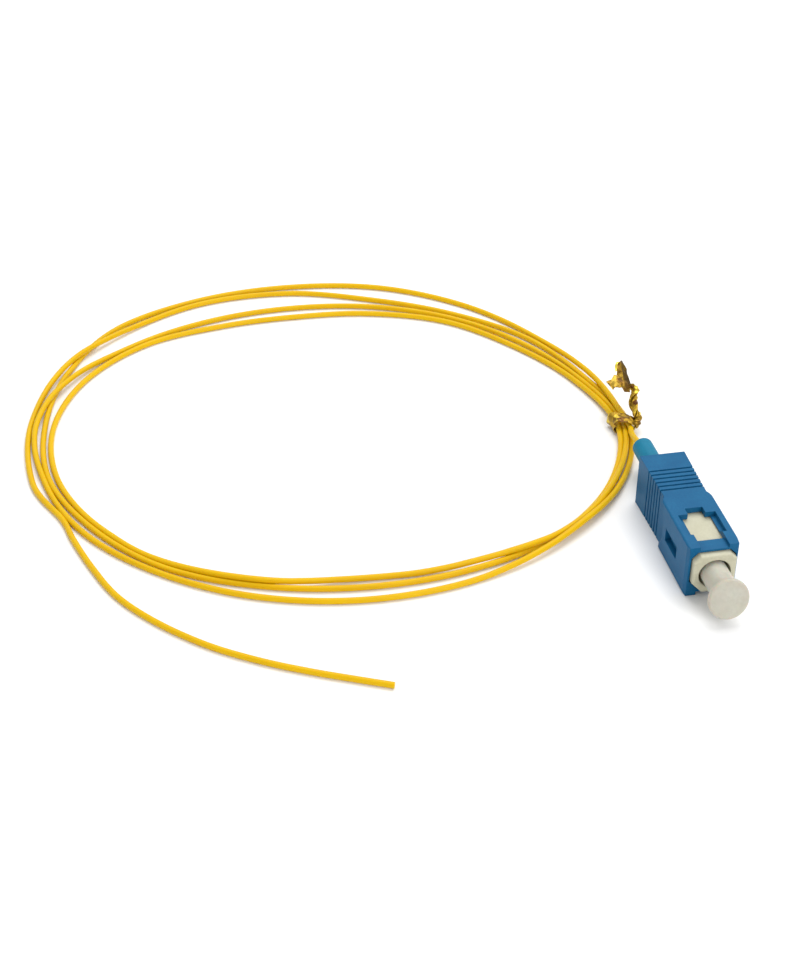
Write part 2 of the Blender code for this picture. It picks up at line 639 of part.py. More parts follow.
def around(keys, angle, column):
    """A value by angle, smooth and closed round the circle, from keys in rising angle."""
    count = len(keys)
    for k in range(count):
        low, high = keys[k], keys[(k + 1) % count]
        span = (high[0] - low[0]) % 360
        into = (angle - low[0]) % 360
        if into <= span:
            before, after = keys[k - 1], keys[(k + 2) % count]
            slope_low = (high[column] - before[column]) / (span + (low[0] - before[0]) % 360) * span
            slope_high = (after[column] - low[column]) / (span + (after[0] - high[0]) % 360) * span
            t = into / span
            return ((2 * t ** 3 - 3 * t ** 2 + 1) * low[column] + (t ** 3 - 2 * t ** 2 + t) * slope_low
                    + (3 * t ** 2 - 2 * t ** 3) * high[column] + (t ** 3 - t ** 2) * slope_high)
    raise ValueError("keys are in rising angle")


def coil_point(angle, radius, height):
    turn = math.radians(angle)
    return (COIL_CENTRE[0] + radius * math.cos(turn), COIL_CENTRE[1] + radius * math.sin(turn), height)


def coil_lift(angle):
    """How far the bundle is held off the floor, highest at the tie."""
    off = (angle - TIE_ANGLE + 180) % 360 - 180
    return FLOOR_GAP + TIE_LIFT * math.exp(-(off / TIE_LIFT_SPREAD) ** 2)


def build_coil():
    bm = bmesh.new()
    rings = []
    for k in range(COIL_STATIONS):
        angle = 360 * k / COIL_STATIONS
        middle = around(COIL_BAND, angle, 1)
        half = around(COIL_BAND, angle, 2)
        low = coil_lift(angle)
        high = low + COIL_H
        cut = COIL_EDGE
        section = [(-half, low + cut), (-half + cut, low), (half - cut, low), (half, low + cut),
                   (half, high - cut), (half - cut, high), (-half + cut, high), (-half, high - cut)]
        rings.append([bm.verts.new(coil_point(angle, middle + across, up)) for across, up in section])
    for k in range(COIL_STATIONS):
        here, there = rings[k], rings[(k + 1) % COIL_STATIONS]
        for j in range(len(here)):
            n = (j + 1) % len(here)
            bm.faces.new((here[j], there[j], there[n], here[n]))
    return from_bmesh("fibre_coil", bm, yellow_jacket)


def build_tail():
    route = [(x, y, FIBRE_R + FLOOR_GAP) for x, y in TAIL_ROUTE]
    return wire("fibre_tail", spaced(route, ROUTE_STEP), FIBRE_R, yellow_jacket)


# Twist tie

def oriented_box(name, low, high, matrix):
    size = [high[i] - low[i] for i in range(3)]
    centre = Matrix.Translation([(high[i] + low[i]) / 2 for i in range(3)])
    bm = bmesh.new()
    bmesh.ops.create_cube(bm, size=1, matrix=matrix @ centre @ Matrix.Diagonal((*size, 1)))
    return from_bmesh(name, bm)


def build_twist_tie():
    half = around(COIL_BAND, TIE_ANGLE, 2) + PIECE_GAP
    low, high = coil_lift(TIE_ANGLE) - PIECE_GAP, coil_lift(TIE_ANGLE) + COIL_H + PIECE_GAP
    middle = coil_point(TIE_ANGLE, around(COIL_BAND, TIE_ANGLE, 1), 0)
    frame = Matrix.Translation(middle) @ Matrix.Rotation(math.radians(TIE_ANGLE), 4, "Z")
    outer = oriented_box("twist_tie", (-half - TIE_T, -TIE_W / 2, low - TIE_T),
                         (half + TIE_T, TIE_W / 2, high + TIE_T), frame)
    cutters.objects.unlink(outer)
    pigtail.objects.link(outer)
    outer.hide_render = False
    outer.display_type = "TEXTURED"
    outer.data.materials.append(gold_foil)
    bevel_along(outer, (frame.to_3x3() @ Vector((0, 1, 0))).normalized(), 0.0007, 2)
    boolean(outer, wire("add_stem", spaced(TIE_STEM, 0.0012), TIE_STEM_R), "UNION")
    for k, (start, end, width) in enumerate(TIE_TABS):
        start, end = Vector(start), Vector(end)
        along = (end - start).normalized()
        side = along.cross(Vector((0, 0, 1))).normalized()
        turn = Matrix((side, along, side.cross(along))).transposed().to_4x4()
        tab = oriented_box(f"add_tab_{k + 1}", (-width / 2, 0, -TIE_T / 2),
                           (width / 2, (end - start).length, TIE_T / 2), Matrix.Translation(start) @ turn)
        boolean(outer, tab, "UNION")
    inner = oriented_box("cut_bundle", (-half, -TIE_W, low), (half, TIE_W, high), frame)
    bevel_along(inner, (frame.to_3x3() @ Vector((0, 1, 0))).normalized(), 0.0004, 2)
    boolean(outer, inner)
    return outer


housing = build_outer_housing()
frame = build_plug_frame()
ferrule, holder = build_ferrule()
spring = build_spring()
rear_body = build_rear_body()
boot = build_boot()
cap = build_dust_cap()
lead = wire("fibre_lead", spaced(LEAD_ROUTE, ROUTE_STEP), FIBRE_R, yellow_jacket)
coil = build_coil()
tail = build_tail()
tie = build_twist_tie()

for piece in (housing, frame, ferrule, holder, spring, rear_body, boot, cap, lead, coil, tail, tie):
    smooth(piece)

# What moves hangs on an empty on its joint's axis: the sleeve, the sprung ferrule, the cap on it
for joint, at, moved in (
    ("sleeve_slide", FRONT_Y, (housing,)),
    ("ferrule_float", FRONT_Y + HOLDER_START, (ferrule, holder)),
    ("dust_cap_pull", FRONT_Y - FERRULE_TIP, (cap,)),
):
    empty = bpy.data.objects.new(joint, None)
    empty.empty_display_size = 0.004
    empty.location = (AXIS_X, at, AXIS_Z)
    pigtail.objects.link(empty)
    for piece in moved:
        piece.parent = empty
        piece.matrix_parent_inverse = Matrix.Translation(-empty.location)
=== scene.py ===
"""A fibre optic pigtail as it lies on a white table: the plug, its boot and its coiled yellow fibre."""

import math

import bmesh
import bpy
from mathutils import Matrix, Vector, noise


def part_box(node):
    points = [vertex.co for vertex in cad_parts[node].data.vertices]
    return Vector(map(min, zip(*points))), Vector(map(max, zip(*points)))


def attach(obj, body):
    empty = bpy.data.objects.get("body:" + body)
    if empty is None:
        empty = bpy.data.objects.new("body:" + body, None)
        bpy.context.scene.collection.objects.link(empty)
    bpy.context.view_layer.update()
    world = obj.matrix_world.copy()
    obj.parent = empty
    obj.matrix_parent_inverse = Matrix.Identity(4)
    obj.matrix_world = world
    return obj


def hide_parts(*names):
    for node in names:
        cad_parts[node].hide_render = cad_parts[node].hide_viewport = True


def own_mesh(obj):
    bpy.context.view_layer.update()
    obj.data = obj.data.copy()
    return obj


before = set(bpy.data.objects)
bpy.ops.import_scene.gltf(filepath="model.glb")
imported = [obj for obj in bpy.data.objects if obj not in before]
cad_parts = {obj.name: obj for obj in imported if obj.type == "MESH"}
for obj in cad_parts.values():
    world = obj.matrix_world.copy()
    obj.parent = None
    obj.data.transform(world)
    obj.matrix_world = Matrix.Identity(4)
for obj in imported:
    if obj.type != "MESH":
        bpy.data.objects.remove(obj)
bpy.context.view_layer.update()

# Camera
# A long lens looks down on the coil from the dust cap's side, a little from the left of the plug.
# Its place and turn were fitted to the photo by the plug's corners.

camera = bpy.data.objects.new("camera", bpy.data.cameras.new("camera"))
camera.data.sensor_width = 36
camera.data.lens = 63.37
camera.data.clip_start = 0.01
camera.location = (-0.07851, -0.184795, 0.14655)
camera.rotation_euler = [math.radians(turn) for turn in (55.163, -0.108, -11.028)]
bpy.context.scene.collection.objects.link(camera)
bpy.context.scene.camera = camera


# Table and light
# A white sheet that runs out of sight, under one large soft light above and behind the coil and a
# weaker one from the front right, in an evenly white room. The sheet is lit past white, as in the
# photo, so only the dark middle of a shadow shows on it.

def linear(hex_colour):
    """A colour given as an sRGB hex value, as the linear RGBA that shaders take."""
    channels = [int(hex_colour[i:i + 2], 16) / 255 for i in (1, 3, 5)]
    return [c / 12.92 if c <= 0.04045 else ((c + 0.055) / 1.055) ** 2.4 for c in channels] + [1.0]


def add_node(tree, kind, inputs=None, **settings):
    """A shader node with its settings; an input is set to a value, or linked if that's a socket."""
    made = tree.nodes.new("ShaderNode" + kind)
    for name, value in settings.items():
        setattr(made, name, value)
    for name, value in (inputs or {}).items():
        if isinstance(value, bpy.types.NodeSocket):
            tree.links.new(value, made.inputs[name])
        else:
            made.inputs[name].default_value = value
    return made


def new_finish(name, **values):
    """A material and its shader, with the shader's own sockets set to constants."""
    made = bpy.data.materials.new(name)
    made.use_nodes = True
    shader = made.node_tree.nodes["Principled BSDF"]
    for socket, value in values.items():
        shader.inputs[socket.replace("_", " ")].default_value = value
    return made, made.node_tree, shader


def soft_light(name, size, energy, place, target):
    """A round area light at a place, turned to its target."""
    lamp = bpy.data.lights.new(name, "AREA")
    lamp.shape = "DISK"
    lamp.size = size
    lamp.energy = energy
    made = bpy.data.objects.new(name, lamp)
    made.location = place
    made.rotation_euler = (Vector(target) - Vector(place)).to_track_quat("-Z", "Y").to_euler()
    bpy.context.scene.collection.objects.link(made)


bpy.context.scene.view_settings.view_transform = "Standard"
room = bpy.data.worlds.new("white_room")
room.use_nodes = True
room.node_tree.nodes["Background"].inputs["Color"].default_value = linear("#FFFFFF")
room.node_tree.nodes["Background"].inputs["Strength"].default_value = 0.69
bpy.context.scene.world = room
soft_light("overhead", 0.9, 7.6, (0.15, 0.45, 0.95), (-0.02, 0.02, 0))
soft_light("front_right", 0.6, 4.2, (0.30, -0.80, 0.50), (0, 0, 0))

MM = 0.001
TABLE_SIZE = 6
TABLE_DROP = 0.02 * MM
bpy.ops.mesh.primitive_plane_add(size=TABLE_SIZE, location=(0, 0, -TABLE_DROP))
table = bpy.context.object
table.name = "table"
# Matt white sheet, faintly uneven, so it throws soft light back on the undersides
white_table, tree, shader = new_finish("white_table", Roughness=0.85)
haze = add_node(tree, "TexNoise", {"Scale": 9.0, "Detail": 3.0})
tint = add_node(tree, "MixRGB", {"Fac": haze.outputs["Fac"], "Color1": linear("#F3F3F3"),
                                 "Color2": linear("#F6F6F6")})
tree.links.new(tint.outputs["Color"], shader.inputs["Base Color"])
table.data.materials.append(white_table)


# Ferrule
# A cylinder of white zirconia, ground to 2.5 mm and polished at the tip. Its fine bore, and the bare
# glass in it, are left out. It sits under the dust cap, so it only shows when the cap is off.

def surface_detail(tree, shader, grain_mm, height_mm, edge_mm):
    """Fine uneven skin from noise of a real size, over edges that are rounded for the light."""
    at = add_node(tree, "TexCoord")
    grain = add_node(tree, "TexNoise", {"Vector": at.outputs["Object"], "Scale": 1 / (grain_mm * MM),
                                        "Detail": 4.0, "Roughness": 0.6})
    edge = add_node(tree, "Bevel", {"Radius": edge_mm * MM}, samples=6)
    skin = add_node(tree, "Bump", {"Height": grain.outputs["Fac"], "Distance": height_mm * MM,
                                   "Strength": 1.0, "Normal": edge.outputs["Normal"]})
    tree.links.new(skin.outputs["Normal"], shader.inputs["Normal"])
    return at.outputs["Object"], grain.outputs["Fac"]


def dress(node, finish):
    """Gives a solid of the frame its finish."""
    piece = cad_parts[node]
    for place in piece.material_slots:
        place.material = finish


# Polished zirconia: a dense white with a sharp gloss
zirconia, tree, shader = new_finish("polished_zirconia", Roughness=0.12, IOR=2.1)
_, grain = surface_detail(tree, shader, 0.15, 0.0008, 0.05)
milky = add_node(tree, "MixRGB", {"Fac": grain, "Color1": linear("#F1F0EC"),
                                  "Color2": linear("#FAF9F6")})
tree.links.new(milky.outputs["Color"], shader.inputs["Base Color"])
dress("ferrule", zirconia)


# Ferrule holder
# A turned stainless collar and stem, pressed on the ferrule. Fine rings from the lathe run round it,
# and its stem guides the spring.

def turned_metal(name, low, high, roughness):
    """A turned metal: its colour and gloss vary in fine rings along the plug's axis."""
    made, tree, shader = new_finish(name, Metallic=1.0)
    at, grain = surface_detail(tree, shader, 0.2, 0.002, 0.05)
    rings = add_node(tree, "TexWave", {"Vector": at, "Scale": 1 / (0.12 * MM) / 20, "Distortion": 1.5},
                     bands_direction="Y")
    colour = add_node(tree, "MixRGB", {"Fac": rings.outputs["Fac"], "Color1": linear(low),
                                       "Color2": linear(high)})
    gloss = add_node(tree, "MapRange", {"Value": grain, "To Min": roughness - 0.06,
                                        "To Max": roughness + 0.08})
    tree.links.new(colour.outputs["Color"], shader.inputs["Base Color"])
    tree.links.new(gloss.outputs["Result"], shader.inputs["Roughness"])
    return made


# Turned stainless steel: a cool grey metal that shows its fine rings
dress("ferrule_holder", turned_metal("turned_stainless_steel", "#B9BBBD", "#CBCDCF", 0.28))


# Ferrule spring
# Drawn spring wire, wound round the holder's stem with a closed turn at each end. It presses the
# ferrule forwards; here it is wound at its full length and moves with the ferrule.

SPRING_WIRE_R = 0.18 * MM
SPRING_TURNS = 8
# A closed turn rises by a wire's thickness, and a little more
CLOSED_TURN_RISE = 0.4 * MM
TURN_POINTS = 28
spring_low, spring_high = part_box("ferrule_spring")
spring_r = (spring_high.x - spring_low.x) / 2 - SPRING_WIRE_R
spring_first, spring_last = spring_low.y + SPRING_WIRE_R, spring_high.y - SPRING_WIRE_R
open_rise = (spring_last - spring_first - 2 * CLOSED_TURN_RISE) / (SPRING_TURNS - 2)

wire_curve = bpy.data.curves.new("ferrule_spring_wire", "CURVE")
wire_curve.dimensions = "3D"
wire_curve.bevel_depth = SPRING_WIRE_R
wire_curve.bevel_resolution = 3
wire_curve.use_fill_caps = True
winding = wire_curve.splines.new("POLY")
winding.points.add(SPRING_TURNS * TURN_POINTS)
for k, point in enumerate(winding.points):
    turns = k / TURN_POINTS
    rise = CLOSED_TURN_RISE * min(turns, 1) + open_rise * min(max(turns - 1, 0), SPRING_TURNS - 2)
    rise += CLOSED_TURN_RISE * max(turns - SPRING_TURNS + 1, 0)
    point.co = ((spring_low.x + spring_high.x) / 2 + spring_r * math.cos(2 * math.pi * turns),
                spring_first + rise,
                (spring_low.z + spring_high.z) / 2 + spring_r * math.sin(2 * math.pi * turns), 1)
wound = bpy.data.objects.new("wound_wire", wire_curve)
bpy.context.scene.collection.objects.link(wound)
bpy.context.view_layer.update()
spring = bpy.data.objects.new("spring_wire", bpy.data.meshes.new_from_object(
    wound.evaluated_get(bpy.context.evaluated_depsgraph_get())))
bpy.data.objects.remove(wound)
bpy.context.scene.collection.objects.link(spring)
spring.data.shade_smooth()
# Drawn spring steel: a darker grey, with the die's fine lines
spring.data.materials.append(turned_metal("drawn_spring_steel", "#9C9EA0", "#B4B6B8", 0.32))
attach(spring, "ferrule_set")
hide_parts("ferrule_spring")
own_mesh(spring)


# Plug frame
# The ivory inner body that enters the adapter, moulded in one piece with its nose bore and barrel.
# The sleeve slides on it, and the rear body closes its rear end.

def moulded(name, low, high, roughness, grain_mm=0.35, height_mm=0.004, edge_mm=0.10, **values):
    """Moulded plastic: a faintly uneven colour, a satin skin, and softly rounded edges."""
    made, tree, shader = new_finish(name, **values)
    at, grain = surface_detail(tree, shader, grain_mm, height_mm, edge_mm)
    clouds = add_node(tree, "TexNoise", {"Vector": at, "Scale": 1 / (3.0 * MM), "Detail": 3.0})
    blend = add_node(tree, "Math", {0: clouds.outputs["Fac"], 1: grain}, operation="MULTIPLY")
    spread = add_node(tree, "MapRange", {"Value": blend.outputs[0], "From Min": 0.12, "From Max": 0.40})
    colour = add_node(tree, "MixRGB", {"Fac": spread.outputs["Result"], "Color1": linear(low),
                                       "Color2": linear(high)})
    gloss = add_node(tree, "MapRange", {"Value": grain, "To Min": roughness - 0.07,
                                        "To Max": roughness + 0.09})
    tree.links.new(colour.outputs["Color"], shader.inputs["Base Color"])
    tree.links.new(gloss.outputs["Result"], shader.inputs["Roughness"])
    return made


# Ivory moulded plastic: warm, satin, with soft edges that catch the light
dress("plug_frame", moulded("ivory_moulded_plastic", "#BBB8A0", "#C8C5AE", 0.42,
                            Specular_IOR_Level=0.2))


# Outer housing
# The blue sleeve that slides on the plug frame: satin moulded plastic, with a window over the frame,
# a key on its far side, scalloped sides and six grooves for the fingers.

# Blue moulded plastic: an even, deep colour under a weak satin sheen
dress("outer_housing", moulded("blue_moulded_plastic", "#0F5681", "#17618B", 0.44,
                               Specular_IOR_Level=0.12))


# Rear body
# Turned brass, nickel plated. It closes the frame behind the spring and carries the boot, and none of
# it shows.

# Nickel plated brass: a warm, glossy grey
dress("rear_body", turned_metal("nickel_plated_brass", "#B7B1A4", "#CBC6BA", 0.24))


# Strain relief boot
# A short teal sleeve of soft elastomer, moulded in one piece and pushed over the rear body. It keeps
# the fibre from kinking where it leaves the plug.

# Teal elastomer: matt, and rounder at its edges than the hard plastics
dress("strain_relief_boot", moulded("teal_elastomer", "#0C6F8E", "#147B9A", 0.55, edge_mm=0.2,
                                    Specular_IOR_Level=0.2))


# Dust cap
# A translucent soft moulding: a tube over the ferrule, with a flat round head to pull it by.
# The head leans back a little.

# Translucent soft plastic: milky, so that light bleeds through its thin head and softens its shade
dress("dust_cap", moulded("translucent_soft_plastic", "#B1AFA1", "#BDBBAE", 0.38, grain_mm=0.6,
                          height_mm=0.006, edge_mm=0.16, Subsurface_Weight=0.35,
                          Subsurface_Scale=0.0012, Specular_IOR_Level=0.35))


# Fibre
# One glass fibre in a 0.9 mm tight buffer of yellow plastic. It leaves the boot, joins the bundle at
# the tie, makes three full turns and part of a fourth, and ends cut off square on the table.

FIBRE_D = 0.9 * MM
COIL_CENTRE = (-46.12 * MM, 38.98 * MM)
TIE_ANGLE = -11
# Radius in millimetres at every twentieth degree from the tie, a row for each turn
TURN_STEP = 20
TURNS = (
    (47.8, 46.0, 45.4, 46.1, 46.9, 46.9, 47.4, 47.9, 45.5,
     43.7, 43.2, 42.2, 41.9, 41.0, 41.2, 42.6, 44.9, 46.3),
    (46.4, 43.1, 40.4, 39.3, 37.2, 35.9, 37.0, 40.1, 41.8,
     42.3, 42.0, 41.3, 41.0, 40.5, 39.2, 41.4, 45.3, 46.9),
    (47.3, 44.1, 42.1, 40.8, 39.7, 39.1, 39.6, 41.2, 43.7,
     45.0, 44.0, 43.7, 43.2, 43.4, 44.0, 45.0, 46.3, 47.9),
    (48.2, 45.1, 44.0, 42.3, 42.2, 44.6, 46.1, 46.0, 46.5, 46.0, 45.7),
)
# The start from inside the rear body to the tie, and the end from the coil to the cut, in millimetres
LEAD_IN = ((-0.35, 2.0, 4.05), (-0.35, 6.3, 4.05), (-0.35, 11.0, 4.05), (-0.35, 15.3, 4.05),
           (-0.35, 19.38, 4.05), (-0.45, 20.9, 3.78), (-0.25, 23.5, 2.95), (0.30, 26.2, 2.05))
TAIL = ((-87.17, 21.58), (-85.87, 16.48), (-83.57, 9.38), (-80.47, 2.08), (-75.67, -4.43),
        (-69.47, -10.43), (-63.27, -14.73), (-57.07, -18.13), (-50.87, -21.03), (-46.67, -22.93))
# How high the fibre comes into the first turn, on top of the others
LEAD_IN_HEIGHT = 1.6 * MM
# What lifts the bundle at the tie: the foil under it, over this many degrees to each side
TIE_LIFT = 0.35 * MM
TIE_LIFT_SPREAD = 16
# How far from the tie the start of the fibre lies on all the others
START_ON_TOP = 20 * MM
SAMPLE = 1.2 * MM
# Steepest slope at which the fibre climbs over itself
CLIMB = 0.055
SETTLE_ROUNDS = 60
SETTLED = 0.01 * MM
EASING_ROUNDS = 3
# Points between two of the route's own, of which samples are taken
CURVE_POINTS = 24
# Samples this near along the fibre are neighbours, and don't lie on one another
NEIGHBOURS = 8


def smooth_curve(points, step):
    """Points a step apart on a smooth curve through the route's own points."""
    points = [Vector(p) for p in points]
    ends = [2 * points[0] - points[1]] + points + [2 * points[-1] - points[-2]]
    fine = []
    for before, a, b, after in zip(ends, ends[1:], ends[2:], ends[3:]):
        for k in range(CURVE_POINTS):
            t = k / CURVE_POINTS
            fine.append(0.5 * (2 * a + (b - before) * t + (2 * before - 5 * a + 4 * b - after) * t ** 2
                               + (3 * a - before - 3 * b + after) * t ** 3))
    fine.append(points[-1])
    total = sum((b - a).length for a, b in zip(fine, fine[1:]))
    count = round(total / step)
    found, walked, wanted = [fine[0]], 0.0, total / count
    for a, b in zip(fine, fine[1:]):
        walked += (b - a).length
        if walked >= wanted and len(found) < count:
            found.append(b)
            wanted += total / count
    return found + [fine[-1]]


def tie_lift(point):
    """How far the bundle's underside is off the table at this point."""
    angle = math.degrees(math.atan2(point.y - COIL_CENTRE[1], point.x - COIL_CENTRE[0]))
    return TIE_LIFT * math.exp(-((angle - TIE_ANGLE) / TIE_LIFT_SPREAD) ** 2)


def lay_down(points, held, first_on_top):
    """Heights for a fibre that lies on the table and crosses over itself in long low humps.

    The first points, as many as held, keep their height. Where two stretches cross, the later one
    lies on top, but the start of the fibre lies on all the others as far as first_on_top.
    """
    near = []
    for i, a in enumerate(points):
        for j in range(i + NEIGHBOURS, len(points)):
            b = points[j]
            apart = math.hypot(a.x - b.x, a.y - b.y)
            if apart < FIBRE_D:
                upper, lower = (i, j) if i < first_on_top else (j, i)
                near.append((upper, lower, math.sqrt(FIBRE_D ** 2 - apart ** 2)))
    heights = [p.z if i < held else FIBRE_D / 2 + tie_lift(p) for i, p in enumerate(points)]
    for _ in range(SETTLE_ROUNDS):
        moved = 0.0
        for upper, lower, over in near:
            lack = heights[lower] + over - heights[upper]
            if lack > 0 and upper >= held:
                heights[upper] += lack
                moved = max(moved, lack)
        for line in (range(held, len(points)), range(len(points) - 2, held - 1, -1)):
            for i in line:
                side = i - 1 if line.step > 0 else i + 1
                least = heights[side] - CLIMB * (points[i] - points[side]).length
                if heights[i] < least and side >= held:
                    heights[i] = least
        if moved < SETTLED:
            break
    for _ in range(EASING_ROUNDS):
        eased = heights[:]
        for i in range(held + 1, len(heights) - 1):
            eased[i] = (heights[i - 1] + 2 * heights[i] + heights[i + 1]) / 4
        heights = eased
    return [Vector((p.x, p.y, z)) for p, z in zip(points, heights)]


route = [Vector(p) * MM for p in LEAD_IN]
for turn, radii in enumerate(TURNS):
    for k, radius in enumerate(radii):
        angle = math.radians(TIE_ANGLE + TURN_STEP * k)
        height = LEAD_IN_HEIGHT if turn == 0 and k == 0 else FIBRE_D / 2
        route.append(Vector((COIL_CENTRE[0] + radius * MM * math.cos(angle),
                             COIL_CENTRE[1] + radius * MM * math.sin(angle), height)))
route += [Vector((x * MM, y * MM, FIBRE_D / 2)) for x, y in TAIL]
flat = smooth_curve(route, SAMPLE)
# The samples up to where the fibre meets the bundle
held = next(i for i, p in enumerate(flat) if p.y >= LEAD_IN[-1][1] * MM)
fibre_path = lay_down(flat, held, held + round(START_ON_TOP / SAMPLE))

# Yellow tight buffer: a full, warm colour that light enters a little, softly glossy along the strand
yellow_jacket, tree, shader = new_finish("yellow_tight_buffer", Roughness=0.4, Specular_IOR_Level=0.15,
                                         Subsurface_Weight=0.15, Subsurface_Scale=0.0006)
at = add_node(tree, "TexCoord").outputs["Object"]
mottle = add_node(tree, "TexNoise", {"Vector": at, "Scale": 1 / (6 * MM), "Detail": 3.0})
tone = add_node(tree, "MixRGB", {"Fac": mottle.outputs["Fac"], "Color1": linear("#D3A802"),
                                 "Color2": linear("#DFB405")})
drawn = add_node(tree, "TexNoise", {"Vector": at, "Scale": 1 / (0.5 * MM), "Detail": 2.0})
skin = add_node(tree, "Bump", {"Height": drawn.outputs["Fac"], "Distance": 0.004 * MM})
tree.links.new(tone.outputs["Color"], shader.inputs["Base Color"])
tree.links.new(skin.outputs["Normal"], shader.inputs["Normal"])

curve = bpy.data.curves.new("fibre", "CURVE")
curve.dimensions = "3D"
curve.bevel_depth = FIBRE_D / 2
curve.bevel_resolution = 4
curve.use_fill_caps = True
spline = curve.splines.new("POLY")
spline.points.add(len(fibre_path) - 1)
for point, place in zip(spline.points, fibre_path):
    point.co = (*place, 1)
fibre = bpy.data.objects.new("fibre", curve)
bpy.context.scene.collection.objects.link(fibre)
curve.materials.append(yellow_jacket)
spline.use_smooth = True
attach(fibre, "plug")
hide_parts("fibre_lead", "fibre_coil", "fibre_tail")


# Twist tie
# A strip of gold foil over a soft wire. It goes once round the bundle, its two ends are twisted
# together, and beyond the twist they splay out as crumpled tabs.

# How far apart the foil's waves and its finer folds are
WAVE_SIZE = 0.9 * MM
FOLD_SIZE = 0.35 * MM
WIRE_SECTION = ((-0.5, 0.35), (-0.28, 0.5), (-0.1, 0.75), (0, 1.1), (0.1, 0.75), (0.28, 0.5), (0.5, 0.35))


def ribbon(name, centres, widths, across, thick, crumple, seed):
    """A strip with a wire along its middle, its width and the direction of its width given at each
    of its centres."""
    bm = bmesh.new()
    section = WIRE_SECTION + tuple((u, -v) for u, v in reversed(WIRE_SECTION))
    rings = []
    for i, (centre, width, side) in enumerate(zip(centres, widths, across)):
        ahead = centres[min(i + 1, len(centres) - 1)] - centres[max(i - 1, 0)]
        side = (side - ahead * side.dot(ahead) / ahead.length_squared).normalized()
        up = side.cross(ahead).normalized()
        ring = []
        for u, v in section:
            spot = centre + side * (width * u)
            wave = noise.noise(spot / WAVE_SIZE + Vector((seed, 0, 0)))
            fold = noise.noise(spot / FOLD_SIZE + Vector((0, seed, 0)))
            off = crumple * (wave + 0.4 * fold) * min(1.0, abs(u) * 3)
            ring.append(bm.verts.new(spot + up * (thick * v * 0.5 + off)))
        rings.append(ring)
    for here, there in zip(rings, rings[1:]):
        for j in range(len(here)):
            n = (j + 1) % len(here)
            bm.faces.new((here[j], there[j], there[n], here[n]))
    bm.faces.new(rings[0])
    bm.faces.new(rings[-1][::-1])
    # The collar and the twist's strands take the paler foil: their olive tone, lifted by painted light
    return tie_piece(name, bm, olive_painted_light_foil)


def spread(points, count):
    """As many points as count, spread over the stretches of a line."""
    found = []
    for k in range(count):
        along = k / (count - 1) * (len(points) - 1)
        first = min(int(along), len(points) - 2)
        found.append(points[first].lerp(points[first + 1], along - first))
    return found


SHEET_ROWS = 16
STRETCH_FACES = 4
FOIL_T = 0.09 * MM
SHEET_WAVE_SIZE = 0.8 * MM
WAVE_DEPTH = 0.20 * MM
FOLD_DEPTH = 0.07 * MM


def foil_sheet(name, edges, seed, finishes):
    """A crumpled piece of foil from one edge over its folds to the other, with a finish for each
    stretch between two of them."""
    bm = bmesh.new()
    lines = [spread([Vector(p) * MM for p in edge], SHEET_ROWS) for edge in edges]
    rows = [[bm.verts.new(spot) for spot in spread(list(spots), STRETCH_FACES * len(finishes) + 1)]
            for spots in zip(*lines)]
    for here, there in zip(rows, rows[1:]):
        for j in range(len(here) - 1):
            face = bm.faces.new((here[j], there[j], there[j + 1], here[j + 1]))
            face.material_index = j // STRETCH_FACES
    bm.normal_update()
    for vert in bm.verts:
        wave = noise.noise(vert.co / SHEET_WAVE_SIZE + Vector((seed, 0, 0)))
        fold = noise.noise(vert.co / FOLD_SIZE + Vector((0, seed, 0)))
        vert.co += vert.normal * (WAVE_DEPTH * wave + FOLD_DEPTH * fold)
    bmesh.ops.solidify(bm, geom=bm.faces[:], thickness=FOIL_T)
    return tie_piece(name, bm, *finishes)


def tie_piece(name, bm, *finishes):
    """An object from a finished mesh, with its finishes in the order of their slots."""
    bmesh.ops.recalc_face_normals(bm, faces=bm.faces)
    mesh = bpy.data.meshes.new(name)
    bm.to_mesh(mesh)
    bm.free()
    for finish in finishes:
        mesh.materials.append(finish)
    made = bpy.data.objects.new(name, mesh)
    bpy.context.scene.collection.objects.link(made)
    return made


def foil_with_painted_facets(name, *tones):
    """Metal foil with a painted reflection on each creased facet: a darker or brighter tone in its colour
    stands in for the part of the room that the facet throws back.
    """
    made, tree, shader = new_finish(name, Metallic=0.7)
    at = add_node(tree, "TexCoord").outputs["Object"]
    facets = add_node(tree, "TexVoronoi", {"Vector": at, "Scale": 1 / (0.75 * MM)})
    facet = add_node(tree, "SeparateColor", {"Color": facets.outputs["Color"]})
    # Painted reflection: each facet's random tone picks a colour from dark to bright
    tone = add_node(tree, "ValToRGB", {"Fac": facet.outputs["Red"]})
    ramp = tone.color_ramp.elements
    ramp[0].color, ramp[1].color = linear(tones[0]), linear(tones[-1])
    for k, colour in enumerate(tones[1:-1]):
        ramp.new((k + 1) / (len(tones) - 1)).color = linear(colour)
    gloss = add_node(tree, "MapRange", {"Value": facet.outputs["Green"], "To Min": 0.30,
                                        "To Max": 0.55})
    creases = add_node(tree, "TexVoronoi", {"Vector": at, "Scale": 1 / (0.5 * MM)},
                       feature="DISTANCE_TO_EDGE")
    skin = add_node(tree, "Bump", {"Height": creases.outputs["Distance"], "Distance": 0.06 * MM,
                                   "Strength": 0.7})
    tree.links.new(tone.outputs["Color"], shader.inputs["Base Color"])
    tree.links.new(gloss.outputs["Result"], shader.inputs["Roughness"])
    tree.links.new(skin.outputs["Normal"], shader.inputs["Normal"])
    return made


